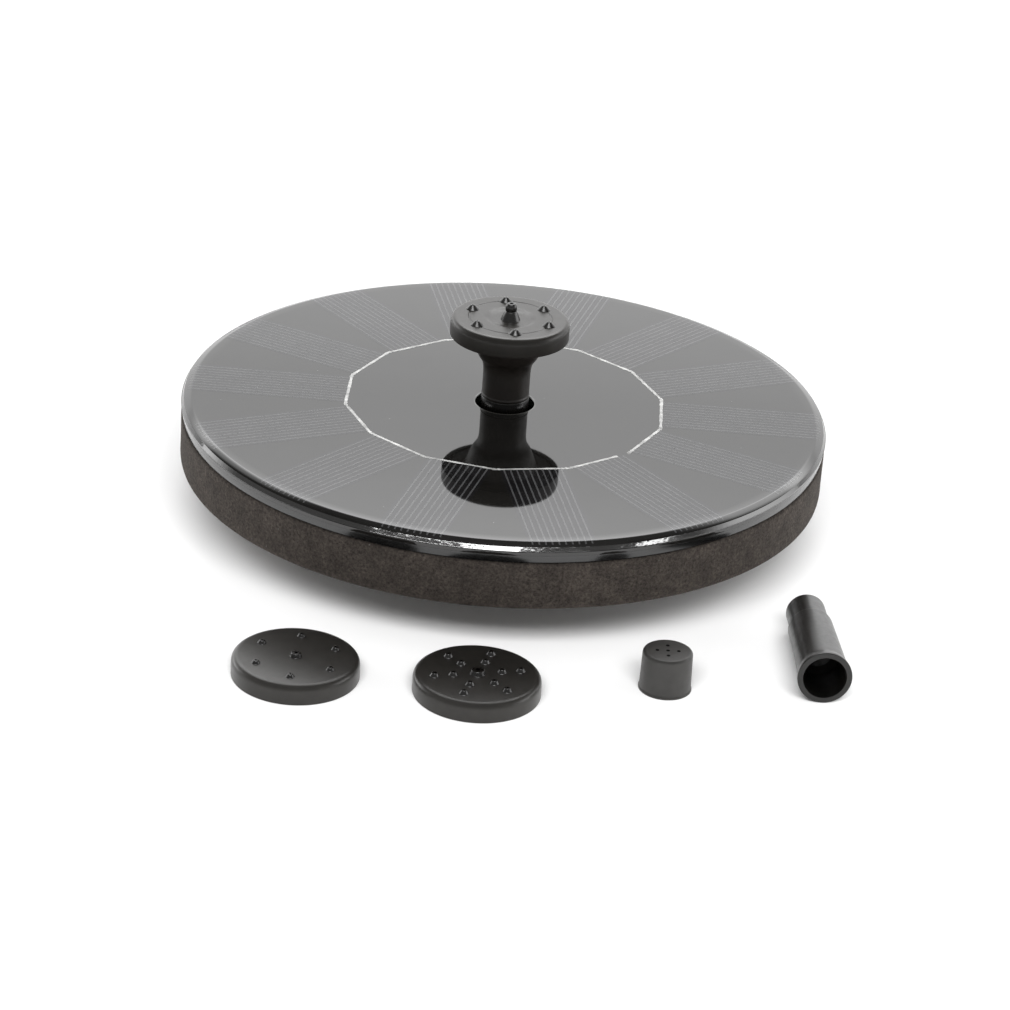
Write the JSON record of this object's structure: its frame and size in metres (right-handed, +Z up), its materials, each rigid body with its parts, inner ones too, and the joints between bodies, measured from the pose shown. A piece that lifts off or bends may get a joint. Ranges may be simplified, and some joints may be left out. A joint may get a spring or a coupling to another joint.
{
  "type": "floating solar fountain pump",
  "caption": "Round floating solar panel on a foam ring with a submersible pump under its middle, a flared nozzle stem with a spray head, and loose spray discs, cap and tube.",
  "frame": {"origin": "middle of the filter cover's flat bottom face, which the pump stands on", "axes": "+Z up along the water outlet; -Y towards the side where the loose spray fittings lie"},
  "size_m": [0.1617, 0.1898, 0.0565],
  "materials": {
    "foam": "matte",
    "black_plastic": "satin",
    "resin": "polished",
    "board": "satin",
    "cell": "gloss",
    "tinned_copper": "satin",
    "rubber": "matte",
    "steel": "satin",
    "laminations": "matte",
    "copper": "satin",
    "circuit": "satin",
    "component": "satin",
    "red_wire": "satin",
    "black_wire": "satin",
    "ceramic": "gloss",
    "impeller_plastic": "satin",
    "magnet": "matte",
    "sponge": "matte"
  },
  "bodies": {
    "float": {"foam_ring": "foam", "panel_tray": "black_plastic", "pump_body": "black_plastic", "outlet_cover": "black_plastic", "inlet_plate": "black_plastic", "resin_cover": "resin", "panel_board": "board", "solar_cell_01": "cell", "solar_cell_02": "cell", "solar_cell_03": "cell", "solar_cell_04": "cell", "solar_cell_05": "cell", "solar_cell_06": "cell", "solar_cell_07": "cell", "solar_cell_08": "cell", "solar_cell_09": "cell", "solar_cell_10": "cell", "solar_cell_11": "cell", "solar_cell_12": "cell", "solar_cell_13": "cell", "solar_cell_14": "cell", "bus_ribbon": "tinned_copper", "lid_seal": "rubber", "riser_seal": "rubber", "lead_grommet": "rubber", "shaft_bush_lower": "rubber", "shaft_bush_upper": "rubber", "housing_screw_1": "steel", "housing_screw_2": "steel", "housing_screw_3": "steel", "housing_screw_4": "steel", "stator_core": "laminations", "stator_coil_1": "copper", "stator_coil_2": "copper", "stator_coil_3": "copper", "stator_coil_4": "copper", "driver_board": "circuit", "driver_chip": "component", "smoothing_capacitor": "component", "reverse_diode": "component", "lead_positive": "red_wire", "lead_negative": "black_wire", "rotor_shaft": "ceramic", "thrust_washer_lower": "ceramic", "thrust_washer_upper": "ceramic"},
    "rotor": {"impeller": "impeller_plastic", "rotor_magnet": "magnet"},
    "filter": {"filter_cover": "black_plastic", "filter_sponge": "sponge"},
    "stem": {"nozzle_stem": "black_plastic"},
    "head": {"spray_head": "black_plastic"},
    "six_hole_disc": {"spray_disc_six": "black_plastic"},
    "twelve_hole_disc": {"spray_disc_twelve": "black_plastic"},
    "cap": {"spray_cap": "black_plastic"},
    "tube": {"extension_tube": "black_plastic"}
  },
  "joints": [
    {"name": "rotor_spin", "type": "hinge", "parent": "float", "child": "rotor", "pos_m": [0, 0, 0.0125], "axis": [0, 0, 1], "continuous": true},
    {"name": "filter_pull", "type": "slide", "parent": "float", "child": "filter", "axis": [0, 0, -1], "range_m": [0, 0.03]},
    {"name": "stem_lift", "type": "slide", "parent": "float", "child": "stem", "axis": [0, 0, 1], "range_m": [0, 0.03]},
    {"name": "head_lift", "type": "slide", "parent": "stem", "child": "head", "axis": [0, 0, 1], "range_m": [0, 0.015]},
    {"name": "six_hole_disc_lift", "type": "slide", "parent": "float", "child": "six_hole_disc", "axis": [0, 0, 1], "range_m": [0, 0.05]},
    {"name": "twelve_hole_disc_lift", "type": "slide", "parent": "float", "child": "twelve_hole_disc", "axis": [0, 0, 1], "range_m": [0, 0.05]},
    {"name": "cap_lift", "type": "slide", "parent": "float", "child": "cap", "axis": [0, 0, 1], "range_m": [0, 0.05]},
    {"name": "tube_lift", "type": "slide", "parent": "float", "child": "tube", "axis": [0, 0, 1], "range_m": [0, 0.05]}
  ]
}
